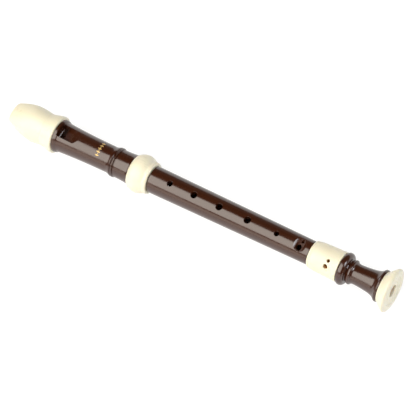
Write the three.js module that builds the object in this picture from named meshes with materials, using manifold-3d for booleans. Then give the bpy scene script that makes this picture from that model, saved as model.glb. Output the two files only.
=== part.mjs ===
// Soprano recorder in three joints: head, middle and foot.
//
// Lengths are in millimetres. Inside this file, x is the distance from the tip of the beak along
// the bore axis, and r is the distance from that axis. The finger holes look along +Z. The last
// lines lay the recorder down with its middle over the origin and its lowest side on the XY plane.

import * as THREE from 'three';
import { mergeVertices } from 'three/addons/utils/BufferGeometryUtils.js';
import Module from 'manifold-3d';

const wasm = await Module();
wasm.setup();

// ---------------------------------------------------------------- driving dimensions

const LENGTH = 328;
const GAP = 0.3; // between pieces that touch
const SIDES = 40; // flats round a turned piece
const HOLE_SIDES = 16; // flats round a drilled hole

// where one piece ends and the next begins
const BEAK_END = 41.2;
const RING_START = 108.6;
const RING_END = 125;
const TUBE_END = 261.1;
const SLEEVE_END = 286;
const STEM_END = 319.3;

// beak
const TIP_HALF_WIDTH = 7.8;
const BEAK_RADIUS = 13.6;
const BEAK_WIDENS_TO = 19.5;
const LIP_CUT_LENGTH = 21; // the beak is round from here on
const LIP_TOP = 7.8; // heights of the squeezed tip above the bore axis
const LIP_BOTTOM = 1.8;
const LIP_ROUNDING = 1.4; // of the slope on top, where 1 is straight
const LIP_HOLLOW = 0.3; // 0 is a straight undercut
const LIP_WALL = 2.6; // under the block
const COLLAR_RADIUS = 14.7;

// windway, window and labium
const HEAD_BORE = 7.0;
const WINDWAY_WIDTH = 10.4;
const WINDWAY_FLOOR = 5.2;
const WINDWAY_ROOF = 6.3;
const BLOCK_START = 2;
const BLOCK_CHAMFER = 0.5;
const WINDOW_START = 43.7;
const WINDOW_WIDTH = 11;
const LABIUM_EDGE = 48.4;
const LABIUM_HEIGHT = 5.8;
const LABIUM_THICKNESS = 0.3;
const RAMP_LENGTH = 13.1;
const RAMP_RISE = 5.1;
const LABIUM_UNDERCUT = 14; // length over which the bore opens up behind the edge

// nose of the barrel inside the beak, and the sockets and tenons
const NOSE_START = 20.3;
const NOSE_RADIUS = 10.3;
const HEAD_TENON_START = 102.8;
const HEAD_TENON_RADIUS = 9.0;
const HEAD_SOCKET_RADIUS = HEAD_TENON_RADIUS + 0.35;
const SOCKET_WALL_RADIUS = 11.3;
const BARREL_END = 120.9;
const FOOT_TENON_RADIUS = 7.7;
const FOOT_TENON_END = 273.4;
const FOOT_SOCKET_RADIUS = FOOT_TENON_RADIUS + 0.35;
const SPIGOT_RADIUS = 7.6;
const SPIGOT_LENGTH = 4.6;
const BELL_SPIGOT_RADIUS = 8.2;
const BELL_SPIGOT_LENGTH = 3.6;
const GREASE_GROOVE = 0.35; // depth of the grooves round the tenons

// tubes
const TUBE_TOP_RADIUS = 10.4;
const TUBE_FOOT_RADIUS = 9.15;
const BORE_TOP = 6.2;
const BORE_MIDDLE = 5.2;
const BORE_FOOT = 5.05;
const BORE_END = 4.75;
const BELL_RADIUS = 16.8;

// finger holes: distance from the tip, radius, and angle round the tube from the hole line
const FRONT_HOLES = [
  { x: 142.5, radius: 2.25, angle: 0 },
  { x: 163.3, radius: 2.6, angle: 0 },
  { x: 184.9, radius: 2.7, angle: 0 },
  { x: 208.8, radius: 2.7, angle: 0 },
  { x: 233.4, radius: 1.95, angle: 0 },
  { x: 252.6, radius: 2.25, angle: 14.6 },
  { x: 253.6, radius: 1.2, angle: -24 },
];
const THUMB_HOLE = { x: 134, radius: 2.5, angle: 180 };
const FOOT_HOLES = [
  { x: 277.1, radius: 1.85, angle: 12.4 },
  { x: 277.9, radius: 1.3, angle: -12.4 },
];
const DISH_X = 253;
const DISH_RADIUS = 7.5; // of the cutter, whose axis crosses the tube
const DISH_FLOOR = 7.55; // height of its floor above the bore axis

// how the joints are turned against each other at rest, in degrees about +X
const HEAD_TURN = -9; // one flat, so that the head's flats stay in line with the rings'
const FOOT_TURN = 24.9;

// ---------------------------------------------------------------- materials

const darkBrown = { color: 0x2e100a, roughness: 0.2, metalness: 0 };
const ivory = { color: 0xf3e9cd, roughness: 0.3, metalness: 0 };

// ---------------------------------------------------------------- making and cutting solids

// Points of a smooth curve through a few [x, r] pairs.
function smooth(pairs, steps) {
  const knots = pairs.map(([x, r]) => new THREE.Vector2(x, r));
  const points = new THREE.SplineCurve(knots).getPoints(steps);
  return points.map((point) => [point.x, point.y]);
}

// A solid of revolution about X. The outline runs along the outside towards the foot, then back
// along the inside, and closes on its first point.
function turned(outline) {
  const profile = [...outline, outline[0]].map(([x, r]) => new THREE.Vector2(r, x));
  const geometry = new THREE.LatheGeometry(profile, SIDES, Math.PI / SIDES);
  return geometry.rotateZ(-Math.PI / 2);
}

// A plain rod about X.
function rod(start, end, radius) {
  return turned([[start, 0], [start, radius], [end, radius], [end, 0]]);
}

// A slab across the bore: a side view drawn in x and height, made to a width along Y.
function slab(sideView, width) {
  const shape = new THREE.Shape(sideView.map(([x, height]) => new THREE.Vector2(x, height)));
  const geometry = new THREE.ExtrudeGeometry(shape, { depth: width, bevelEnabled: false });
  return geometry.translate(0, 0, -width / 2).rotateX(Math.PI / 2);
}

// A drill from the bore axis out through the wall.
function drill({ x, radius, angle }) {
  const reach = 20;
  const geometry = new THREE.CylinderGeometry(radius, radius, reach, HOLE_SIDES);
  geometry.rotateX(Math.PI / 2).translate(x, 0, reach / 2);
  return geometry.rotateX(THREE.MathUtils.degToRad(angle));
}

function solidOf(geometry) {
  const bare = geometry.clone();
  bare.deleteAttribute('normal');
  bare.deleteAttribute('uv');
  const merged = mergeVertices(bare);
  const corners = merged.index.array;
  const triangles = [];
  for (let i = 0; i < corners.length; i += 3) {
    const [a, b, c] = corners.slice(i, i + 3);
    // a turned profile that reaches the axis has triangles of no area there
    if (a !== b && b !== c && c !== a) triangles.push(a, b, c);
  }
  const mesh = new wasm.Mesh({
    numProp: 3,
    vertProperties: new Float32Array(merged.attributes.position.array),
    triVerts: new Uint32Array(triangles),
  });
  return new wasm.Manifold(mesh);
}

function geometryOf(solid) {
  const mesh = solid.getMesh();
  const geometry = new THREE.BufferGeometry();
  geometry.setAttribute('position', new THREE.BufferAttribute(mesh.vertProperties, 3));
  geometry.setIndex(new THREE.BufferAttribute(mesh.triVerts, 1));
  geometry.computeVertexNormals();
  return geometry;
}

function cut(geometry, tools) {
  let solid = solidOf(geometry);
  for (const tool of tools) {
    solid = solid.subtract(solidOf(tool));
  }
  return geometryOf(solid);
}

function common(first, second) {
  return geometryOf(solidOf(first).intersect(solidOf(second)));
}

function piece(name, geometry, material) {
  const mesh = new THREE.Mesh(geometry, new THREE.MeshStandardMaterial(material));
  mesh.name = name;
  return mesh;
}

// ---------------------------------------------------------------- head joint

// Half the beak's width, seen from above.
function beakHalfWidth(x) {
  const along = Math.min(x / BEAK_WIDENS_TO, 1);
  return TIP_HALF_WIDTH + (BEAK_RADIUS - TIP_HALF_WIDTH) * Math.sin((Math.PI / 2) * along);
}

// Heights of the beak's upper and lower sides. The lower side is hollowed for the player's lip.
function beakTop(x) {
  return BEAK_RADIUS - (BEAK_RADIUS - LIP_TOP) * (1 - x / LIP_CUT_LENGTH) ** LIP_ROUNDING;
}

function beakBottom(x) {
  const along = x / LIP_CUT_LENGTH;
  return LIP_BOTTOM - (BEAK_RADIUS + LIP_BOTTOM) * along * (1 - LIP_HOLLOW + LIP_HOLLOW * along);
}

// Turns the round beak into the flat tip by squeezing each section to its own height.
function squeezeBeak(geometry) {
  const position = geometry.attributes.position;
  for (let i = 0; i < position.count; i += 1) {
    const x = position.getX(i);
    if (x < LIP_CUT_LENGTH) {
      const middle = (beakTop(x) + beakBottom(x)) / 2;
      const squeeze = (beakTop(x) - beakBottom(x)) / 2 / beakHalfWidth(x);
      position.setZ(i, middle + squeeze * position.getZ(i));
    }
  }
  return geometry;
}

// The lower side of the beak from the tip to the full round, raised by some height.
function underside(start, raise, steps) {
  const line = [];
  for (let i = 0; i <= steps; i += 1) {
    const x = start + ((LIP_CUT_LENGTH - start) * i) / steps;
    line.push([x, beakBottom(x) + raise]);
  }
  return line;
}

function windway(start, end) {
  return slab([
    [start, WINDWAY_FLOOR],
    [end, WINDWAY_FLOOR],
    [end, WINDWAY_ROOF],
    [start, WINDWAY_ROOF],
  ], WINDWAY_WIDTH);
}

function beakCap() {
  const tipRound = 1.2;
  const steps = 9;
  const side = [];
  for (let i = 1; i <= steps; i += 1) {
    const x = tipRound + ((BEAK_WIDENS_TO - tipRound) * i) / steps;
    side.push([x, beakHalfWidth(x)]);
  }
  const outside = [
    [0, 0],
    [0, TIP_HALF_WIDTH - tipRound],
    [tipRound * 0.3, TIP_HALF_WIDTH - tipRound * 0.3],
    [tipRound, beakHalfWidth(tipRound)],
    ...side,
    [LIP_CUT_LENGTH, BEAK_RADIUS],
    [25, 13.25],
    [27.5, 12.85],
    [29.6, 12.65],
    [30.3, 12.5],
    ...smooth([[31, 12.9], [33.5, 13.45], [36, 14.1], [38.5, 14.6], [39.8, COLLAR_RADIUS]], 5),
    [40.7, 14.4],
    [BEAK_END, 13.9],
    [BEAK_END, 0],
  ];
  const blockHollow = common(rod(BLOCK_START - GAP, NOSE_START, HEAD_BORE), slab([
    ...underside(BLOCK_START - 1, LIP_WALL, 8),
    [LIP_CUT_LENGTH, WINDWAY_FLOOR + 0.1],
    [BLOCK_START - 1, WINDWAY_FLOOR + 0.1],
  ], 2 * BEAK_RADIUS));
  return cut(squeezeBeak(turned(outside)), [
    rod(NOSE_START - GAP, BEAK_END + 1, NOSE_RADIUS + GAP),
    blockHollow,
    windway(-1, NOSE_START),
  ]);
}

function windwayBlock() {
  const end = WINDOW_START + BLOCK_CHAMFER;
  return common(rod(BLOCK_START, end, HEAD_BORE - GAP), slab([
    ...underside(BLOCK_START - 1, LIP_WALL + GAP, 8),
    [LIP_CUT_LENGTH, -BEAK_RADIUS],
    [end, -BEAK_RADIUS],
    [end, WINDWAY_FLOOR - BLOCK_CHAMFER],
    [WINDOW_START, WINDWAY_FLOOR],
    [BLOCK_START - 1, WINDWAY_FLOOR],
  ], 2 * BEAK_RADIUS));
}

function headBarrel() {
  const start = BEAK_END + GAP;
  const ringSeat = RING_START - GAP;
  const outside = [
    [NOSE_START, 0],
    [NOSE_START, NOSE_RADIUS],
    [start, NOSE_RADIUS],
    [start, 13],
    [43.1, 12.9],
    ...smooth([[44.2, 12.5], [46.6, 11.65], [59, 10.95], [73, 10.5], [88.2, 10.35]], 9),
    [89.8, 10.6],
    [91.2, 11.1],
    [92.7, 11.6],
    [93.2, 10.95],
    [93.7, 11.5],
    [94.15, 11.65],
    [94.6, 11.5],
    [95.15, 10.75],
    [95.7, 11.1],
    ...smooth([[96.8, 10.95], [101, 11.05], [105, 11.35], [107, 11.7], [ringSeat, 12.1]], 5),
    [ringSeat, SOCKET_WALL_RADIUS],
    [BARREL_END, SOCKET_WALL_RADIUS],
    [BARREL_END, 0],
  ];
  const edge = LABIUM_HEIGHT - LABIUM_THICKNESS;
  const bore = common(rod(NOSE_START - 1, BARREL_END, HEAD_BORE), slab([
    [NOSE_START - 1, -HEAD_BORE - 1],
    [BARREL_END, -HEAD_BORE - 1],
    [BARREL_END, HEAD_BORE + 1],
    [LABIUM_EDGE + LABIUM_UNDERCUT, HEAD_BORE + 1],
    [LABIUM_EDGE + LABIUM_UNDERCUT, HEAD_BORE],
    [LABIUM_EDGE, edge],
    [WINDOW_START, edge],
    [WINDOW_START, WINDWAY_ROOF],
    [NOSE_START - 1, WINDWAY_ROOF],
  ], 2 * HEAD_BORE + 2));
  const over = 2; // times the ramp's own length, so that the cut leaves through the outside
  const window = slab([
    [WINDOW_START, 0],
    [LABIUM_EDGE, 0],
    [LABIUM_EDGE, LABIUM_HEIGHT],
    [LABIUM_EDGE + over * RAMP_LENGTH, LABIUM_HEIGHT + over * RAMP_RISE],
    [WINDOW_START, LABIUM_HEIGHT + over * RAMP_RISE],
  ], WINDOW_WIDTH);
  return cut(turned(outside), [
    bore,
    rod(HEAD_TENON_START - GAP, BARREL_END + 1, HEAD_SOCKET_RADIUS),
    windway(NOSE_START - 1, WINDOW_START + 0.5),
    window,
  ]);
}

function headSocketRing() {
  const lip = BARREL_END + GAP;
  return turned([
    [RING_START, SOCKET_WALL_RADIUS + GAP],
    [RING_START, 12.2],
    [109.1, 12.75],
    ...smooth([[110, 13.5], [112.6, 14.5], [116, 14.9], [119, 14.1], [121.2, 13.1]], 9),
    [121.7, 12.7],
    [122.8, 12.7],
    [124.1, 12.5],
    [RING_END, 11.9],
    [RING_END, HEAD_SOCKET_RADIUS],
    [lip, HEAD_SOCKET_RADIUS],
    [lip, SOCKET_WALL_RADIUS + GAP],
  ]);
}

// ---------------------------------------------------------------- middle joint

// A tenon's outside from one x to another, with grease grooves at the given places.
function tenon(start, end, radius, grooves) {
  const half = 0.9;
  const line = [[start, radius - 0.5], [start + 0.5, radius]];
  for (const x of grooves) {
    line.push([x - half, radius], [x - half, radius - GREASE_GROOVE]);
    line.push([x + half, radius - GREASE_GROOVE], [x + half, radius]);
  }
  line.push([end, radius]);
  return line;
}

function middleTube() {
  const start = RING_END + GAP;
  const footTenon = tenon(0, FOOT_TENON_END - TUBE_END, FOOT_TENON_RADIUS, [4, 8]);
  const outside = [
    ...tenon(HEAD_TENON_START, start, HEAD_TENON_RADIUS, [108, 116]),
    [start, TUBE_TOP_RADIUS - 0.3],
    [start + 0.4, TUBE_TOP_RADIUS],
    [TUBE_END - 0.4, TUBE_FOOT_RADIUS],
    [TUBE_END, TUBE_FOOT_RADIUS - 0.3],
    ...footTenon.reverse().map(([x, r]) => [FOOT_TENON_END - x, r]),
    [FOOT_TENON_END, BORE_MIDDLE],
    [HEAD_TENON_START, BORE_TOP],
  ];
  const reach = 2 * TUBE_TOP_RADIUS;
  const dish = new THREE.CylinderGeometry(DISH_RADIUS, DISH_RADIUS, reach, 2 * SIDES);
  dish.translate(DISH_X, 0, DISH_FLOOR + DISH_RADIUS);
  return cut(turned(outside), [dish, ...FRONT_HOLES.map(drill), drill(THUMB_HOLE)]);
}

// ---------------------------------------------------------------- foot joint

function footSleeve() {
  const start = TUBE_END + GAP;
  const floor = FOOT_TENON_END + GAP;
  const seat = SLEEVE_END - SPIGOT_LENGTH;
  const body = turned([
    [start, FOOT_SOCKET_RADIUS],
    [start, 9.5],
    [261.8, 10],
    [263, 10.35],
    [263.4, 10.2],
    [263.8, 10.5],
    [265.8, 10.85],
    [270, 11],
    [SLEEVE_END - 0.4, 11.65],
    [SLEEVE_END, 11.3],
    [SLEEVE_END, SPIGOT_RADIUS + GAP],
    [seat, SPIGOT_RADIUS + GAP],
    [seat, BORE_FOOT],
    [floor, BORE_FOOT],
    [floor, FOOT_SOCKET_RADIUS],
  ]);
  return cut(body, FOOT_HOLES.map(drill));
}

function footStem() {
  const start = SLEEVE_END + GAP;
  const torus = { x: 288.6, r: 9.25, radius: 3.2 };
  const round = [];
  for (let degrees = 130; degrees >= -20; degrees -= 15) {
    const angle = THREE.MathUtils.degToRad(degrees);
    round.push([torus.x + torus.radius * Math.cos(angle), torus.r + torus.radius * Math.sin(angle)]);
  }
  return turned([
    [start - SPIGOT_LENGTH + GAP, SPIGOT_RADIUS],
    [start, SPIGOT_RADIUS],
    [start, 11.3],
    ...round,
    [292.2, 8.5],
    [293.2, 8.5],
    ...smooth([[293.5, 8.95], [294.6, 9.35], [295.7, 8.95]], 4),
    [296.2, 8.2],
    ...smooth([[297.2, 7.8], [300, 7.7], [306, 8.2], [311, 8.9], [314.4, 9.95], [316.6, 11.4]], 10),
    [317.4, 12.15],
    [318.6, 12.35],
    [STEM_END, 12],
    [STEM_END, BELL_SPIGOT_RADIUS],
    [STEM_END + BELL_SPIGOT_LENGTH, BELL_SPIGOT_RADIUS],
    [STEM_END + BELL_SPIGOT_LENGTH, BORE_END],
    [start - SPIGOT_LENGTH + GAP, BORE_FOOT],
  ]);
}

function footBellRing() {
  const start = STEM_END + GAP;
  const seat = STEM_END + BELL_SPIGOT_LENGTH + GAP;
  const dished = 0.6; // how far the middle of the end face stands back
  return turned([
    [start, BELL_SPIGOT_RADIUS + GAP],
    [start, 11.8],
    ...smooth([[320.3, 12], [321.3, 12.8], [322.7, 14.2], [324, 15.4], [325.2, 16.3]], 7),
    [326, BELL_RADIUS],
    [326.6, BELL_RADIUS],
    [327.2, 16.4],
    [LENGTH - 0.3, 15.6],
    [LENGTH, 14.8],
    [LENGTH, 11.8],
    [LENGTH - dished, 10.8],
    [LENGTH - dished, 6.8],
    [LENGTH - dished - 0.5, BORE_END],
    [seat, BORE_END],
    [seat, BELL_SPIGOT_RADIUS + GAP],
  ]);
}

// ---------------------------------------------------------------- assembly

const head = new THREE.Group();
head.add(piece('beak_cap', beakCap(), ivory));
head.add(piece('windway_block', windwayBlock(), darkBrown));
head.add(piece('head_barrel', headBarrel(), darkBrown));
head.rotation.x = THREE.MathUtils.degToRad(HEAD_TURN);

const sleeve = piece('foot_sleeve', footSleeve(), ivory);
sleeve.rotation.x = THREE.MathUtils.degToRad(FOOT_TURN);

const recorder = new THREE.Group();
recorder.add(head);
recorder.add(piece('head_socket_ring', headSocketRing(), ivory));
recorder.add(piece('middle_tube', middleTube(), darkBrown));
recorder.add(sleeve);
recorder.add(piece('foot_stem', footStem(), darkBrown));
recorder.add(piece('foot_bell_ring', footBellRing(), ivory));
recorder.position.set(-LENGTH / 2, 0, BELL_RADIUS * Math.cos(Math.PI / SIDES));

export default recorder;
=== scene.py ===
import math

import bpy
import numpy as np
from mathutils import Matrix, Vector


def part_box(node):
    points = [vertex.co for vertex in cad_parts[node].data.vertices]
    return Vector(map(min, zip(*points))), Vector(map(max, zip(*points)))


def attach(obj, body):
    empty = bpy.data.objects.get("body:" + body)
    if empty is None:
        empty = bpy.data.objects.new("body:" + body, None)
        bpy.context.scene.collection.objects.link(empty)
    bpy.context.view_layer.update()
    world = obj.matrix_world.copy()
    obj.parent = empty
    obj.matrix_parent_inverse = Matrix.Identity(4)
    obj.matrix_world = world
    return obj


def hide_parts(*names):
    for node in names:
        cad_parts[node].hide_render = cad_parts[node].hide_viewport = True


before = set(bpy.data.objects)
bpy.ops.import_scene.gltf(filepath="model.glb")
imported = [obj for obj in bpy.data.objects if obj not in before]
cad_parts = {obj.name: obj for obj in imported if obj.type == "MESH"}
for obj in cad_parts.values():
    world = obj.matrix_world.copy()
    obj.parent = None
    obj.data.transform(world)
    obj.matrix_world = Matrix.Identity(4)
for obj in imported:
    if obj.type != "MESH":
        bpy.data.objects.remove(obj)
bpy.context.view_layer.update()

# Soprano recorder. Outlines are in millimetres: x is the distance from the tip of the beak along
# the bore axis, and r the distance from that axis. Everything else is in metres in the row frame.

MM = 0.001
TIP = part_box("beak_cap")[0].x
BELL_LOW, BELL_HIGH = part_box("foot_bell_ring")
AXIS_HEIGHT = (BELL_LOW.z + BELL_HIGH.z) / 2
SIDES = 160  # round a turned piece
HOLE_SIDES = 48  # round a drilled hole

# how the head and the foot are turned against the middle, about +X
HEAD_TURN = math.radians(-9)
FOOT_TURN = math.radians(24.9)

GAP = 0.3  # between pieces that are glued or pressed together
ROUND = 0.25  # usual rounding of a moulded edge

# edges that bend more than this, in degrees, are shaded sharp
SHARP = 35
RAMP_SHARP = 19  # low enough for the end of the labium ramp


def ends(node):
    """Where a CAD node starts and ends along the axis, in millimetres from the tip."""
    low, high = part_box(node)
    return (low.x - TIP) / MM, (high.x - TIP) / MM


BEAK_END = ends("beak_cap")[1]
NOSE_START, BARREL_END = ends("head_barrel")
BLOCK_START, BLOCK_END = ends("windway_block")
RING_START, RING_END = ends("head_socket_ring")
HEAD_TENON_START, FOOT_TENON_END = ends("middle_tube")
SLEEVE_START, SLEEVE_END = ends("foot_sleeve")
SPIGOT_START, BELL_SPIGOT_END = ends("foot_stem")
BELL_START, LENGTH = ends("foot_bell_ring")

# ---------------------------------------------------------------- beak, windway and window

TIP_HALF_WIDTH = 7.8
BEAK_RADIUS = 13.6
BEAK_WIDENS_TO = 19.5
LIP_CUT_LENGTH = 21.0
LIP_TOP = 7.8
LIP_BOTTOM = 1.8
LIP_ROUNDING = 1.4
LIP_HOLLOW = 0.3
LIP_WALL = 2.6
COLLAR_RADIUS = 14.7
HEAD_BORE = 7.0
WINDWAY_WIDTH = 10.4
WINDWAY_FLOOR = 5.2
WINDWAY_ROOF = 6.3
BLOCK_CHAMFER = 0.5
WINDOW_START = BLOCK_END - BLOCK_CHAMFER
WINDOW_WIDTH = 11.0
LABIUM_EDGE = WINDOW_START + 4.7
LABIUM_HEIGHT = 5.8
LABIUM_THICKNESS = 0.3
LABIUM_UNDERCUT = 14.0
RAMP_LENGTH = 13.1
RAMP_RISE = 5.1

# ---------------------------------------------------------------- sockets, tenons and tubes

NOSE_RADIUS = 10.3
HEAD_TENON_RADIUS = 9.0
HEAD_SOCKET_RADIUS = 9.35
SOCKET_WALL_RADIUS = 11.3
FOOT_TENON_RADIUS = 7.7
FOOT_SOCKET_RADIUS = 8.05
SPIGOT_RADIUS = 7.6
BELL_SPIGOT_RADIUS = 8.2
GREASE_GROOVE = 0.35
TUBE_TOP_RADIUS = 10.4
TUBE_FOOT_RADIUS = 9.15
BORE_TOP = 6.2
BORE_MIDDLE = 5.2
BORE_FOOT = 5.05
BORE_END = 4.75
BELL_RADIUS = 16.8
SLEEVE_TOP_RADIUS = 10.8
SLEEVE_FOOT_RADIUS = 11.65

# holes as (x, radius, angle from the hole line in degrees)
FRONT_HOLES = [
    (142.5, 2.25, 0),
    (163.3, 2.6, 0),
    (184.9, 2.7, 0),
    (208.8, 2.7, 0),
    (233.4, 1.95, 0),
]
DOUBLE_HOLE = [(252.6, 2.25, 14.6), (253.6, 1.2, -24)]
THUMB_HOLE = (134, 2.5, 180)
FOOT_HOLES = [(277.1, 1.85, 12.4), (277.9, 1.3, -12.4)]
DISH_X = 253.0
DISH_RADIUS = 7.5
DISH_FLOOR = 7.55


# ---------------------------------------------------------------- outlines

def spline(pairs, steps):
    """Points of a smooth curve through a few (x, r) pairs."""
    knots = [np.array(pair, float) for pair in pairs]
    knots = [2 * knots[0] - knots[1], *knots, 2 * knots[-1] - knots[-2]]
    points = []
    for k in range(1, len(knots) - 2):
        before, start, end, after = knots[k - 1 : k + 3]
        for t in np.linspace(0, 1, steps, endpoint=False):
            point = 2 * start + (end - before) * t
            point = point + (2 * before - 5 * start + 4 * end - after) * t**2
            point = point + (3 * start - before - 3 * end + after) * t**3
            points.append(tuple(point / 2))
    points.append(tuple(knots[-2]))
    return points


def arc(centre_x, centre_r, radius, start, end, steps):
    """Points of a round stretch, from one angle to another in degrees."""
    angles = np.radians(np.linspace(start, end, steps))
    return [(centre_x + radius * math.cos(a), centre_r + radius * math.sin(a)) for a in angles]


def rounded(corners, steps=4):
    """The closed outline, with each corner given as (x, r, rounding) made round."""
    points = []
    count = len(corners)
    for i, corner in enumerate(corners):
        here = np.array(corner[:2], float)
        if len(corner) == 2 or corner[2] <= 0:
            points.append(tuple(here))
            continue
        before = np.array(corners[i - 1][:2], float) - here
        after = np.array(corners[(i + 1) % count][:2], float) - here
        reach = min(np.linalg.norm(before), np.linalg.norm(after))
        before = before / np.linalg.norm(before)
        after = after / np.linalg.norm(after)
        half = math.acos(max(-1.0, min(1.0, float(before @ after)))) / 2
        back = min(corner[2] / math.tan(half), 0.49 * reach)  # never past the middle of a side
        first, last = here + back * before, here + back * after
        for t in np.linspace(0, 1, steps + 1):
            points.append(tuple((1 - t) ** 2 * first + 2 * t * (1 - t) * here + t**2 * last))
    return points


# ---------------------------------------------------------------- meshes

def to_row(x, y, z):
    """A point given in millimetres from the tip, on the bore axis, as a row frame point."""
    return TIP + x * MM, y * MM, AXIS_HEIGHT + z * MM


def mesh_object(name, points, faces):
    mesh = bpy.data.meshes.new(name)
    mesh.from_pydata([to_row(*p) for p in points], [], faces)
    mesh.validate()
    mesh.update()
    made = bpy.data.objects.new(name, mesh)
    bpy.context.scene.collection.objects.link(made)
    return made


def revolved(outline, sides=SIDES):
    """Points and faces of a closed outline turned about the axis. r = 0 makes one point."""
    rows = []
    points = []
    for x, r in outline:
        if r < 1e-6:
            rows.append([len(points)] * sides)
            points.append((x, 0.0, 0.0))
            continue
        rows.append(list(range(len(points), len(points) + sides)))
        for k in range(sides):
            a = 2 * math.pi * k / sides
            points.append((x, r * math.sin(a), r * math.cos(a)))
    faces = []
    for low, high in zip(rows, rows[1:] + rows[:1]):
        for k in range(sides):
            m = (k + 1) % sides
            face = []
            for corner in (low[k], high[k], high[m], low[m]):
                if corner not in face:
                    face.append(corner)
            if len(face) > 2:
                faces.append(face)
    return points, faces


def turned(name, outline, sides=SIDES):
    return mesh_object(name, *revolved(outline, sides))


def rod(start, end, radius):
    return turned("tool", [(start, 0), (start, radius), (end, radius), (end, 0)])


def slab(side_view, width):
    """A side view drawn in x and height, made to a width across the bore."""
    count = len(side_view)
    points = [(x, side * width / 2, z) for side in (-1, 1) for x, z in side_view]
    faces = [list(range(count)), list(range(2 * count - 1, count - 1, -1))]
    for i in range(count):
        j = (i + 1) % count
        faces.append([i, i + count, j + count, j])
    return mesh_object("tool", points, faces)


def apply_modifiers(piece):
    shown = piece.evaluated_get(bpy.context.evaluated_depsgraph_get())
    mesh = bpy.data.meshes.new_from_object(shown)
    piece.modifiers.clear()
    piece.data = mesh
    return piece


def combine(piece, tools, operation="DIFFERENCE"):
    """Cuts the tools out of the piece, or keeps only what they share, and removes the tools."""
    for tool in tools:
        step = piece.modifiers.new("cut", "BOOLEAN")
        step.operation = operation
        step.solver = "EXACT"
        step.object = tool
    apply_modifiers(piece)
    for tool in tools:
        bpy.data.objects.remove(tool)
    return piece


def turn(piece, angle):
    """Turns a piece's mesh about the bore axis."""
    centre = Matrix.Translation((0, 0, AXIS_HEIGHT))
    piece.data.transform(centre @ Matrix.Rotation(angle, 4, "X") @ centre.inverted())
    return piece


def tube_radius(x):
    share = (x - RING_END) / (SLEEVE_START - RING_END)
    return TUBE_TOP_RADIUS + (TUBE_FOOT_RADIUS - TUBE_TOP_RADIUS) * share


def sleeve_radius(x):
    share = (x - SLEEVE_START) / (SLEEVE_END - SLEEVE_START)
    return SLEEVE_TOP_RADIUS + (SLEEVE_FOOT_RADIUS - SLEEVE_TOP_RADIUS) * share


def drill(hole, surface, rim=0.18):
    """A cutter for one hole, whose rim is rounded where it leaves the surface."""
    x, radius, angle = hole
    steep = math.radians(70)  # the rounding stops just short of the surface, for a clean cut
    widening = 0.02
    above = 2  # how far the cutter stands out of the surface

    def top(reach, around):
        along, across = reach * math.cos(around), reach * math.sin(around)
        return math.sqrt(surface(x + along) ** 2 - across**2)

    rings = [(radius, lambda around: 0.0)]
    for bend in np.linspace(0, steep, 5):
        reach = radius + rim * (1 - math.cos(bend))
        drop = rim * (1 - math.sin(bend))
        rings.append((reach, lambda around, reach=reach, drop=drop: top(reach, around) - drop))
    rings.append((reach + widening, lambda around, reach=reach: top(reach, around) + above))
    points = []
    for reach, height in rings:
        for k in range(HOLE_SIDES):
            around = 2 * math.pi * k / HOLE_SIDES
            along, across = reach * math.cos(around), reach * math.sin(around)
            points.append((x + along, across, height(around)))
    faces = [list(range(HOLE_SIDES - 1, -1, -1))]
    last = len(points) - HOLE_SIDES
    faces.append(list(range(last, last + HOLE_SIDES)))
    for ring in range(len(rings) - 1):
        for k in range(HOLE_SIDES):
            m = (k + 1) % HOLE_SIDES
            low, high = ring * HOLE_SIDES, (ring + 1) * HOLE_SIDES
            faces.append([low + k, low + m, high + m, high + k])
    return turn(mesh_object("tool", points, faces), math.radians(angle))


def stations(start, end, radius, places, reach=4.5, fine=0.5, coarse=5.0):
    """(x, r) pairs along a tube, close together where it is going to be cut. They are rounded,
    so that two runs that meet at one place share its pair."""
    clear = 0.2  # kept free at both ends
    xs = {round(x, 2) for x in np.arange(start, end, coarse)}
    for place in places:
        xs |= {round(x, 2) for x in np.arange(place - reach, place + reach, fine)}
    inside = sorted(x for x in xs if start + clear < x < end - clear)
    return [(x, radius(x)) for x in inside]


# ---------------------------------------------------------------- materials

# sizes of the noise, in features per metre
FLOW = 90
SCRATCHES = 900
SMEAR = 60
RELIEF = 350

def node_tree(name):
    material = bpy.data.materials.new(name)
    material.use_nodes = True
    tree = material.node_tree
    return material, tree, tree.nodes["Principled BSDF"]


def noise(tree, coordinates, scale, detail=3.0, stretch=(1, 1, 1)):
    """Noise over the piece, as a factor output. A small stretch draws it out along an axis."""
    mapping = tree.nodes.new("ShaderNodeMapping")
    mapping.inputs["Scale"].default_value = stretch
    texture = tree.nodes.new("ShaderNodeTexNoise")
    texture.inputs["Scale"].default_value = scale
    texture.inputs["Detail"].default_value = detail
    tree.links.new(coordinates, mapping.inputs["Vector"])
    tree.links.new(mapping.outputs["Vector"], texture.inputs["Vector"])
    return texture.outputs["Fac"]


def spread(tree, factor, low, high, start=0.3, end=0.7):
    """Maps a factor onto a range of values."""
    node = tree.nodes.new("ShaderNodeMapRange")
    node.inputs["From Min"].default_value = start
    node.inputs["From Max"].default_value = end
    node.inputs["To Min"].default_value = low
    node.inputs["To Max"].default_value = high
    tree.links.new(factor, node.inputs["Value"])
    return node.outputs["Result"]


def mixed(tree, factor, first, second):
    """Mixes two colours, each a colour or an output."""
    node = tree.nodes.new("ShaderNodeMix")
    node.data_type = "RGBA"
    tree.links.new(factor, node.inputs["Factor"])
    for socket, colour in ((node.inputs[6], first), (node.inputs[7], second)):
        if isinstance(colour, tuple):
            socket.default_value = (*colour, 1)
        else:
            tree.links.new(colour, socket)
    return node.outputs[2]


def maths(tree, operation, *values):
    node = tree.nodes.new("ShaderNodeMath")
    node.operation = operation
    for socket, value in zip(node.inputs, values):
        if isinstance(value, (int, float)):
            socket.default_value = value
        else:
            tree.links.new(value, socket)
    return node.outputs[0]


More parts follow.
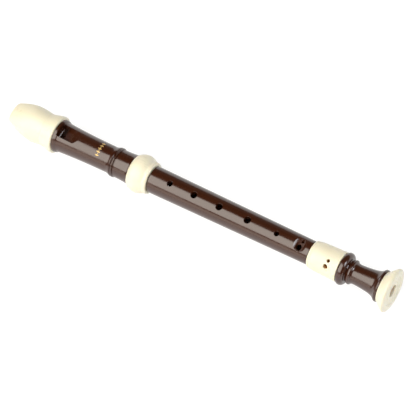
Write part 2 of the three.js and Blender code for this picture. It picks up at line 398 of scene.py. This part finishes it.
def plastic(name, colour, shade, roughness, bump):
    """Moulded gloss plastic: slight flow in the colour, fine scratches and rubbed edges."""
    material, tree, shader = node_tree(name)
    place = tree.nodes.new("ShaderNodeTexCoord").outputs["Object"]
    flow = spread(tree, noise(tree, place, FLOW, 4, (0.35, 1, 1)), 0, 1)
    edges = tree.nodes.new("ShaderNodeNewGeometry").outputs["Pointiness"]
    rubbed = spread(tree, edges, 0, 0.35, 0.53, 0.62)
    body = mixed(tree, flow, colour, shade)
    worn = tuple(min(1.0, c * 1.25 + 0.01) for c in colour)
    tree.links.new(mixed(tree, rubbed, body, worn), shader.inputs["Base Color"])
    scratches = noise(tree, place, SCRATCHES, 2, (0.06, 1, 1))
    smear = noise(tree, place, SMEAR)
    low, high = roughness
    fine = spread(tree, scratches, low, high, 0.35, 0.75)
    broad = spread(tree, smear, 0, (high - low) * 0.8, 0.35, 0.7)
    gloss = maths(tree, "ADD", fine, broad)
    gloss = maths(tree, "ADD", gloss, maths(tree, "MULTIPLY", rubbed, 0.25))
    tree.links.new(gloss, shader.inputs["Roughness"])
    relief = tree.nodes.new("ShaderNodeBump")
    relief.inputs["Strength"].default_value = bump
    relief.inputs["Distance"].default_value = 0.00005
    tree.links.new(noise(tree, place, RELIEF, 4), relief.inputs["Height"])
    tree.links.new(relief.outputs["Normal"], shader.inputs["Normal"])
    return material, tree, shader


def brown_plastic():
    material, tree, shader = plastic(
        "brown_abs", (0.042, 0.0105, 0.003), (0.035, 0.0088, 0.0025), (0.14, 0.22), 0.2
    )
    shader.inputs["IOR"].default_value = 1.55
    shader.inputs["Specular IOR Level"].default_value = 0.8
    return material


def ivory_plastic(name, blue, deep=None, glow=None, fade=None):
    """Ivory ABS. deep gives the radii in millimetres between which the walls of its holes turn to the
    glow colour. This is painted light and shade: a warm tint that stands in for light passing through
    the plastic and bouncing about inside the shaded bore. fade gives the places along the axis where
    this is full and where it has gone."""
    material, tree, shader = plastic(
        name, (0.8, 0.76, blue), (0.78, 0.735, blue - 0.035), (0.26, 0.36), 0.03
    )
    # painted light and shade: the walls of the holes are mixed towards the warm glow colour, fully
    # inside the bore
    if deep:
        surface = shader.inputs["Base Color"].links[0].from_socket
        place = tree.nodes.new("ShaderNodeSeparateXYZ")
        tree.links.new(tree.nodes.new("ShaderNodeTexCoord").outputs["Object"], place.inputs[0])
        height = maths(tree, "SUBTRACT", place.outputs["Z"], AXIS_HEIGHT)
        squares = [maths(tree, "MULTIPLY", v, v) for v in (place.outputs["Y"], height)]
        radius = maths(tree, "SQRT", maths(tree, "ADD", *squares))
        inside = spread(tree, radius, 1, 0, deep[0] * MM, deep[1] * MM)
        if fade:
            along = spread(tree, place.outputs["X"], 1, 0, *[TIP + x * MM for x in fade])
            inside = maths(tree, "MULTIPLY", inside, along)
        tree.links.new(mixed(tree, inside, surface, glow), shader.inputs["Base Color"])
    shader.inputs["IOR"].default_value = 1.5
    shader.inputs["Subsurface Weight"].default_value = 0.15
    shader.inputs["Subsurface Scale"].default_value = 0.002
    shader.inputs["Subsurface Radius"].default_value = (1.0, 0.7, 0.35)
    return material


def gold_foil():
    material, tree, shader = plastic(
        "gold_foil", (0.7, 0.5, 0.2), (0.5, 0.34, 0.12), (0.36, 0.55), 0.3
    )
    shader.inputs["Metallic"].default_value = 0.4
    return material


BROWN = brown_plastic()
IVORY = ivory_plastic("ivory_abs", 0.6)
SOCKET_FLOOR = (FOOT_TENON_END + 0.8, FOOT_TENON_END + 0.4)
# the foot's ivory, with painted warm light and shade on the walls of its holes
IVORY_FOOT = ivory_plastic("ivory_abs_foot", 0.6, (8.3, 9.8), (0.55, 0.25, 0.08), SOCKET_FLOOR)
# the bell's ivory, with painted warm light and shade in the mouth of its bore
BELL_MOUTH = (LENGTH - 4.2, LENGTH - 1.6)
# its blue of 0.61 against 0.6 is painted light: a cooler tone standing in for the light on the bell's
# face
IVORY_BELL = ivory_plastic("ivory_abs_bell", 0.61, (4.9, 5.2), (0.8, 0.46, 0.22), BELL_MOUTH)
GOLD = gold_foil()


def finish_piece(piece, name, body, material, sharp=SHARP):
    piece.name = name
    piece.data.name = name
    piece.data.materials.clear()
    piece.data.materials.append(material)
    for polygon in piece.data.polygons:
        polygon.material_index = 0
    piece.data.shade_smooth()
    piece.data.set_sharp_from_angle(angle=math.radians(sharp))
    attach(piece, body)
    return piece


# ---------------------------------------------------------------- head joint

def beak_half_width(x):
    along = min(x / BEAK_WIDENS_TO, 1)
    return TIP_HALF_WIDTH + (BEAK_RADIUS - TIP_HALF_WIDTH) * math.sin(math.pi / 2 * along)


def beak_top(x):
    return BEAK_RADIUS - (BEAK_RADIUS - LIP_TOP) * (1 - x / LIP_CUT_LENGTH) ** LIP_ROUNDING


def beak_bottom(x):
    along = x / LIP_CUT_LENGTH
    return LIP_BOTTOM - (BEAK_RADIUS + LIP_BOTTOM) * along * (1 - LIP_HOLLOW + LIP_HOLLOW * along)


def squeezed(point):
    """The round beak's point, moved to where the flat tip has it."""
    x, y, z = point
    if x >= LIP_CUT_LENGTH:
        return point
    middle = (beak_top(x) + beak_bottom(x)) / 2
    height = (beak_top(x) - beak_bottom(x)) / 2
    return x, y, middle + z * height / beak_half_width(x)


def underside(start, lift):
    xs = np.linspace(start, LIP_CUT_LENGTH, 24)
    return [(x, beak_bottom(x) + lift) for x in xs]


def windway(start, end):
    floor, roof = WINDWAY_FLOOR, WINDWAY_ROOF
    return slab([(start, floor), (end, floor), (end, roof), (start, roof)], WINDWAY_WIDTH)


def beak_cap():
    tip_round = 1.2
    side = [(x, beak_half_width(x)) for x in np.linspace(tip_round, LIP_CUT_LENGTH, 34)]
    outline = [
        (0, 0),
        *[(0, r) for r in np.linspace(1.5, TIP_HALF_WIDTH - tip_round - 0.6, 5)],
        *spline([(0, TIP_HALF_WIDTH - tip_round), (0.3, TIP_HALF_WIDTH - 0.35), side[0]], 4)[:-1],
        *side,
        *spline([(22.2, 13.58), (25, 13.25), (27.5, 12.9), (29.6, 12.72)], 5),
        (29.95, 12.55),
        (30.3, 12.5),
        (30.6, 12.65),
        *spline([(30.9, 12.88), (33.5, 13.45), (36, 14.1), (38.5, 14.6), (39.8, COLLAR_RADIUS)], 5),
        *spline([(40.1, COLLAR_RADIUS), (40.8, 14.4), (BEAK_END, 13.8)], 4),
        (BEAK_END, 12.4),
        (BEAK_END, 0),
    ]
    points, faces = revolved(outline)
    piece = mesh_object("beak_cap", [squeezed(p) for p in points], faces)
    hollow_top = WINDWAY_FLOOR + 0.1  # a little into the windway, so that the two cuts join
    hollow = combine(rod(BLOCK_START - GAP, NOSE_START, HEAD_BORE), [slab([
        *underside(BLOCK_START - 1, LIP_WALL),
        (LIP_CUT_LENGTH, hollow_top),
        (BLOCK_START - 1, hollow_top),
    ], 2 * BEAK_RADIUS)], "INTERSECT")
    nose = rod(NOSE_START - GAP, BEAK_END + 1, NOSE_RADIUS + GAP)
    return combine(piece, [nose, hollow, windway(-1, NOSE_START)])


def windway_block():
    body = rod(BLOCK_START, BLOCK_END, HEAD_BORE - GAP)
    return combine(body, [slab([
        *underside(BLOCK_START - 1, LIP_WALL + GAP),
        (LIP_CUT_LENGTH, -BEAK_RADIUS),
        (BLOCK_END + 1, -BEAK_RADIUS),
        (BLOCK_END + 1, WINDWAY_FLOOR - BLOCK_CHAMFER),
        (BLOCK_END, WINDWAY_FLOOR - BLOCK_CHAMFER),
        (WINDOW_START, WINDWAY_FLOOR),
        (BLOCK_START - 1, WINDWAY_FLOOR),
    ], 2 * BEAK_RADIUS)], "INTERSECT")


BARREL_CURVE = spline([(44.2, 12.5), (46.6, 11.65), (59, 10.95), (73, 10.5), (88.2, 10.35)], 14)


def head_barrel():
    start = BEAK_END + GAP
    seat = RING_START - GAP
    outline = rounded([
        (NOSE_START, 0),
        (NOSE_START, NOSE_RADIUS, ROUND),
        (start, NOSE_RADIUS),
        (start, 13, ROUND),
        (43.1, 12.95, 0.5),
        *BARREL_CURVE,
        *spline([(89.0, 10.45), (90.2, 10.75), (91.4, 11.2), (92.6, 11.6)], 4),
        (92.9, 11.3),
        (93.15, 10.85),
        (93.3, 10.85),
        (93.5, 11.3),
        *spline([(93.65, 11.5), (94.15, 11.7), (94.65, 11.5)], 5),
        (94.85, 11.2),
        (95.1, 10.6),
        (95.25, 10.6),
        (95.5, 10.95),
        *spline([(95.75, 11.1), (96.8, 10.95), (101, 11.05), (105, 11.35)], 6)[:-1],
        *spline([(105, 11.35), (107, 11.7), (seat, 12.1)], 5),
        (seat, SOCKET_WALL_RADIUS),
        (BARREL_END, SOCKET_WALL_RADIUS, ROUND),
        (BARREL_END, 0),
    ])
    piece = turned("head_barrel", outline)
    edge = LABIUM_HEIGHT - LABIUM_THICKNESS
    bore = combine(rod(NOSE_START - 1, BARREL_END, HEAD_BORE), [slab([
        (NOSE_START - 2, -HEAD_BORE - 1),
        (BARREL_END + 1, -HEAD_BORE - 1),
        (BARREL_END + 1, HEAD_BORE + 1),
        (LABIUM_EDGE + LABIUM_UNDERCUT, HEAD_BORE + 1),
        (LABIUM_EDGE + LABIUM_UNDERCUT, HEAD_BORE),
        (LABIUM_EDGE, edge),
        (WINDOW_START, edge),
        (WINDOW_START, WINDWAY_ROOF),
        (NOSE_START - 2, WINDWAY_ROOF),
    ], 2 * HEAD_BORE + 2)], "INTERSECT")
    socket = rod(HEAD_TENON_START - GAP, BARREL_END + 1, HEAD_SOCKET_RADIUS)
    ramp_top = LABIUM_HEIGHT + 2 * RAMP_RISE  # the ramp's line is carried on past the surface
    window = slab([
        (WINDOW_START, 0),
        (LABIUM_EDGE, 0),
        (LABIUM_EDGE, LABIUM_HEIGHT),
        (LABIUM_EDGE + 2 * RAMP_LENGTH, ramp_top),
        (WINDOW_START, ramp_top),
    ], WINDOW_WIDTH)
    return combine(piece, [bore, socket, windway(NOSE_START - 1, WINDOW_START + 0.5), window])


def foil_shape(x, angle, half_length, half_width, corners):
    """A thin patch of foil on the barrel, as points and faces. angle is from the window line."""
    lift = 0.03  # how far its faces lie under and over the barrel's surface
    xs, rs = zip(*BARREL_CURVE)
    points = []
    for height in (-lift, lift):
        for k in range(corners):
            a = 2 * math.pi * k / corners
            at = x + half_length * math.cos(a)
            r = float(np.interp(at, xs, rs))
            around = math.radians(angle) + half_width * math.sin(a) / r
            points.append((at, (r + height) * math.sin(around), (r + height) * math.cos(around)))
    faces = [list(range(corners - 1, -1, -1)), list(range(corners, 2 * corners))]
    for k in range(corners):
        m = (k + 1) % corners
        faces.append([k, m, m + corners, k + corners])
    return points, faces


def head_ornament():
    """A plain band of lozenges and dots, printed in gold where a maker would put a mark."""
    place = 79.9
    pitch = 15  # degrees from one lozenge to the next
    points, faces = [], []
    shapes = [(place, pitch * k, 1.8, 0.62, 4) for k in (-2, -1, 0, 1, 2)]
    shapes += [(place, pitch * k, 0.42, 0.34, 12) for k in (-1.5, -0.5, 0.5, 1.5)]
    for shape in shapes:
        more, sides = foil_shape(*shape)
        faces += [[len(points) + k for k in side] for side in sides]
        points += more
    return mesh_object("head_ornament", points, faces)


def head_socket_ring():
    lip = BARREL_END + GAP
    crown = [(109.2, 12.8), (110.1, 13.5), (112.6, 14.5), (116, 14.95), (119, 14.15), (121.4, 13.0)]
    return turned("head_socket_ring", rounded([
        (RING_START, SOCKET_WALL_RADIUS + GAP),
        (RING_START, 12.35, 0.15),
        *spline(crown, 6),
        (121.7, 12.75),
        (122.1, 12.65),
        *spline([(123.0, 12.7), (124.1, 12.45), (RING_END, 11.8)], 4),
        (RING_END, HEAD_SOCKET_RADIUS, ROUND),
        (lip, HEAD_SOCKET_RADIUS),
        (lip, SOCKET_WALL_RADIUS + GAP),
    ]))


# ---------------------------------------------------------------- middle joint

def tenon(start, end, radius, grooves):
    """Corners of a tenon's outside, with grease grooves at the given places."""
    half = 0.9
    line = [(start, radius - 0.5), (start + 0.5, radius)]
    for x in grooves:
        line += [(x - half, radius, 0.15), (x - half, radius - GREASE_GROOVE)]
        line += [(x + half, radius - GREASE_GROOVE), (x + half, radius, 0.15)]
    return [*line, (end, radius)]


def dish_cutter():
    """A drum lying across the tube, for the oval dish, with short faces so it shades evenly."""
    count = 96
    rows = [-TUBE_TOP_RADIUS, *np.arange(-7, 7.1, 0.5), TUBE_TOP_RADIUS]
    points = []
    for y in rows:
        for k in range(count):
            a = 2 * math.pi * k / count
            across, up = DISH_RADIUS * math.cos(a), DISH_RADIUS * math.sin(a)
            points.append((DISH_X + across, float(y), DISH_FLOOR + DISH_RADIUS + up))
    last = len(points) - count
    faces = [list(range(count)), list(range(len(points) - 1, last - 1, -1))]
    for row in range(len(rows) - 1):
        for k in range(count):
            low, high = row * count + k, row * count + (k + 1) % count
            faces.append([low, low + count, high + count, high])
    return mesh_object("tool", points, faces)


def middle_tube():
    start, end = RING_END + GAP, SLEEVE_START - GAP
    holes = [*FRONT_HOLES, *DOUBLE_HOLE, THUMB_HOLE]
    places = [x for x, radius, angle in holes]
    foot = tenon(0, FOOT_TENON_END - end, FOOT_TENON_RADIUS, [4, 8])
    outline = rounded([
        *tenon(HEAD_TENON_START, start, HEAD_TENON_RADIUS, [108, 116]),
        (start, TUBE_TOP_RADIUS, ROUND),
        *stations(start + 1, end - 1, tube_radius, places),
        (end, TUBE_FOOT_RADIUS, ROUND),
        *[(FOOT_TENON_END - corner[0], *corner[1:]) for corner in reversed(foot)],
        (FOOT_TENON_END, BORE_MIDDLE, 0.3),
        (HEAD_TENON_START, BORE_TOP, 0.3),
    ])
    piece = turned("middle_tube", outline)
    combine(piece, [dish_cutter()])

    def dished(x):
        lowered = DISH_FLOOR + DISH_RADIUS - math.sqrt(DISH_RADIUS**2 - (x - DISH_X) ** 2)
        farther = 0.3  # off the hole line, the dish lies farther from the axis
        return min(tube_radius(x), lowered + farther)

    cutters = [drill(hole, tube_radius) for hole in [*FRONT_HOLES, THUMB_HOLE]]
    cutters += [drill(hole, dished, 0.15) for hole in DOUBLE_HOLE]
    return combine(piece, cutters)


# ---------------------------------------------------------------- foot joint

def foot_sleeve():
    floor = FOOT_TENON_END + GAP
    seat = SPIGOT_START - GAP
    places = [x for x, radius, angle in FOOT_HOLES]
    outline = rounded([
        (SLEEVE_START, FOOT_SOCKET_RADIUS, ROUND),
        *spline([(SLEEVE_START, 9.4), (261.8, 9.95), (263.0, 10.35)], 5),
        (263.25, 10.3),
        (263.45, 10.1),
        (263.65, 10.35),
        *spline([(263.9, 10.52), (265.8, 10.85), (270, sleeve_radius(270))], 5),
        *stations(270.6, SLEEVE_END - 1, sleeve_radius, places),
        (SLEEVE_END, SLEEVE_FOOT_RADIUS, 0.4),
        (SLEEVE_END, SPIGOT_RADIUS + GAP),
        (seat, SPIGOT_RADIUS + GAP),
        (seat, BORE_FOOT),
        (floor, BORE_FOOT),
        (floor, FOOT_SOCKET_RADIUS),
    ])
    piece = turned("foot_sleeve", outline)
    return combine(piece, [drill(hole, sleeve_radius, 0.2) for hole in FOOT_HOLES])


def foot_stem():
    start = SLEEVE_END + GAP
    end = BELL_START - GAP
    flare = [(297.2, 7.8), (300, 7.7), (306, 8.2), (311, 8.9), (314.4, 9.95), (316.6, 11.4)]
    return turned("foot_stem", rounded([
        (SPIGOT_START, SPIGOT_RADIUS, ROUND),
        (start, SPIGOT_RADIUS),
        (start, 11.3, 0.1),
        *arc(288.6, 9.25, 3.2, 132, -14, 22),
        *spline([(291.9, 8.1), (292.4, 8.35), (292.9, 8.55)], 3)[1:],
        *spline([(293.4, 8.75), (293.9, 9.2), (294.7, 9.4), (295.5, 9.1), (296.0, 8.4)], 4),
        *spline(flare, 9),
        (317.1, 12.0, 0.15),
        (317.6, 12.3),
        (317.9, 12.15),
        (318.2, 12.35),
        (end, 12.1, ROUND),
        (end, BELL_SPIGOT_RADIUS),
        (BELL_SPIGOT_END, BELL_SPIGOT_RADIUS, ROUND),
        (BELL_SPIGOT_END, BORE_END),
        (SPIGOT_START, BORE_FOOT),
    ]))


def foot_bell_ring():
    seat = BELL_SPIGOT_END + GAP
    flare = [(319.9, 11.85), (320.5, 12.1), (321.4, 12.9), (322.7, 14.2), (324, 15.4), (325.2, 16.3)]
    face = LENGTH - 0.6  # set back from the flat land round it
    return turned("foot_bell_ring", rounded([
        (BELL_START, BELL_SPIGOT_RADIUS + GAP),
        (BELL_START, 11.8, 0.1),
        *spline(flare, 6),
        *spline([(325.9, 16.7), (326.3, BELL_RADIUS), (326.9, 16.65), (327.6, 15.9), (LENGTH, 14.9)], 5),
        (LENGTH, 11.8, 0.6),
        (face, 10.9, 0.6),
        (face, 8.3, 0.2),
        (face + 0.25, 8.0, 0.2),
        (face + 0.25, 7.3, 0.2),
        (face, 6.9, 0.3),
        (face - 0.15, BORE_END, 0.5),
        (seat, BORE_END),
        (seat, BELL_SPIGOT_RADIUS + GAP),
    ]))


# ---------------------------------------------------------------- assembly

for make, body, slot, material, angle, sharp in (
    (beak_cap, "head_joint", "ivory_head", IVORY, HEAD_TURN, SHARP),
    (windway_block, "head_joint", "brown_head", BROWN, HEAD_TURN, SHARP),
    (head_barrel, "head_joint", "brown_head", BROWN, HEAD_TURN, RAMP_SHARP),
    (head_socket_ring, "head_ring", "ivory_ring", IVORY, 0, SHARP),
    (middle_tube, "middle_joint", "brown_middle", BROWN, 0, SHARP),
    (foot_sleeve, "foot_joint", "ivory_foot", IVORY_FOOT, FOOT_TURN, SHARP),
    (foot_stem, "foot_joint", "brown_foot", BROWN, 0, SHARP),
    (foot_bell_ring, "bell_ring", "ivory_foot", IVORY_BELL, 0, SHARP),
):
    node = make.__name__
    shell = finish_piece(turn(make(), angle), node + "_shell", body, material, sharp)
    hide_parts(node)

ornament = turn(head_ornament(), HEAD_TURN)
finish_piece(ornament, "head_ornament", "head_joint", GOLD)


# ---------------------------------------------------------------- floor, light and camera

def stage_piece(name, points, faces, grey, glow):
    mesh = bpy.data.meshes.new(name)
    mesh.from_pydata(points, [], faces)
    made = bpy.data.objects.new(name, mesh)
    bpy.context.scene.collection.objects.link(made)
    material, tree, shader = node_tree(name)
    shader.inputs["Base Color"].default_value = (grey, grey, grey, 1)
    shader.inputs["Roughness"].default_value = 0.9
    shader.inputs["Specular IOR Level"].default_value = 0.1
    shader.inputs["Emission Color"].default_value = (1, 1, 1, 1)
    shader.inputs["Emission Strength"].default_value = glow
    mesh.materials.append(material)
    return made


def floor():
    """A wide pale floor, and round it a pale wall for low views. The wall is as bright as the
    far floor, and only the camera sees it, so it casts no light on the recorder."""
    half = 8.0
    corners = [(-half, -half), (half, -half), (half, half), (-half, half)]
    flat = [(x, y, 0) for x, y in corners]
    stage_piece("floor_white", flat, [(0, 1, 2, 3)], 0.22, 0.83)
    wall = flat + [(x, y, half) for x, y in corners]
    sides = [(0, 1, 5, 4), (1, 2, 6, 5), (2, 3, 7, 6), (3, 0, 4, 7)]
    backdrop = stage_piece("backdrop_white", wall, sides, 0.02, 0.84)
    backdrop.visible_diffuse = False
    backdrop.visible_glossy = False


MIDDLE = Vector((0, 0, AXIS_HEIGHT))


def softbox(name, lean, along, distance, width, length, radiance, colour=(1, 1, 1)):
    """A flat light over the recorder. lean is its angle from straight up towards -Y, and along
    its slope towards +X, both in degrees. width lies across the recorder, length along it."""
    lean, along = math.radians(lean), math.radians(along)
    toward = Vector((
        math.sin(along),
        -math.sin(lean) * math.cos(along),
        math.cos(lean) * math.cos(along),
    ))
    light = bpy.data.lights.new(name, "AREA")
    light.shape = "RECTANGLE"
    light.size = length
    light.size_y = width
    light.energy = radiance * math.pi * width * length
    light.color = colour
    made = bpy.data.objects.new(name, light)
    bpy.context.scene.collection.objects.link(made)
    across = toward.cross(Vector((1, 0, 0))).normalized()
    lengthwise = across.cross(toward).normalized()
    turned_to = Matrix((lengthwise, across, toward)).transposed().to_4x4()
    made.matrix_world = Matrix.Translation(MIDDLE + toward * distance) @ turned_to
    made.visible_camera = False
    return made


def lights():
    softbox("key", 22.5, -18, 1.0, 1.12, 1.9, 3.5, (1, 0.945, 0.855))
    softbox("front_card", 75.5, 0, 1.2, 0.56, 2.4, 1.4, (1, 0.9, 0.8))
    softbox("back_card", -74, 0, 1.2, 0.55, 2.4, 0.1, (1, 0.82, 0.64))
    softbox("end_light", -29, 53, 1.2, 0.42, 0.6, 6.9, (0.93, 0.95, 1))
    world = bpy.data.worlds.new("studio")
    world.use_nodes = True
    world.node_tree.nodes["Background"].inputs["Color"].default_value = (1, 1, 1, 1)
    world.node_tree.nodes["Background"].inputs["Strength"].default_value = 0.03
    bpy.context.scene.world = world


def camera():
    """The camera, looking from the foot's side and above, with the beak up to the left."""
    distance = 1.541
    aside = math.radians(12.5)  # lean from straight above towards -Y
    ahead = math.radians(20.5)  # slope from square on towards the foot
    roll = math.radians(25.05)  # how far the recorder points down to the right
    back = Vector((
        math.sin(ahead),
        -math.sin(aside) * math.cos(ahead),
        math.cos(aside) * math.cos(ahead),
    ))
    lens = bpy.data.cameras.new("camera")
    lens.sensor_width = 36
    lens.lens = 181
    lens.clip_end = 20
    made = bpy.data.objects.new("camera", lens)
    bpy.context.scene.collection.objects.link(made)
    forward = (Vector((1, 0, 0)) - back * back.x).normalized()
    beside = back.cross(forward)
    right = forward * math.cos(roll) + beside * math.sin(roll)
    up = beside * math.cos(roll) - forward * math.sin(roll)
    middle = Vector(to_row(163, 0, 0))
    place = middle + back * distance
    beside_middle = 0.0085  # how far right of the middle the picture is centred
    below_middle = 0.0064
    target = middle + right * beside_middle - up * below_middle
    back = (place - target).normalized()
    right = (right - back * right.dot(back)).normalized()
    up = back.cross(right)
    facing = Matrix((right, up, back)).transposed().to_4x4()
    made.matrix_world = Matrix.Translation(place) @ facing
    bpy.context.scene.camera = made


floor()
lights()
camera()
bpy.context.scene.view_settings.view_transform = "Standard"
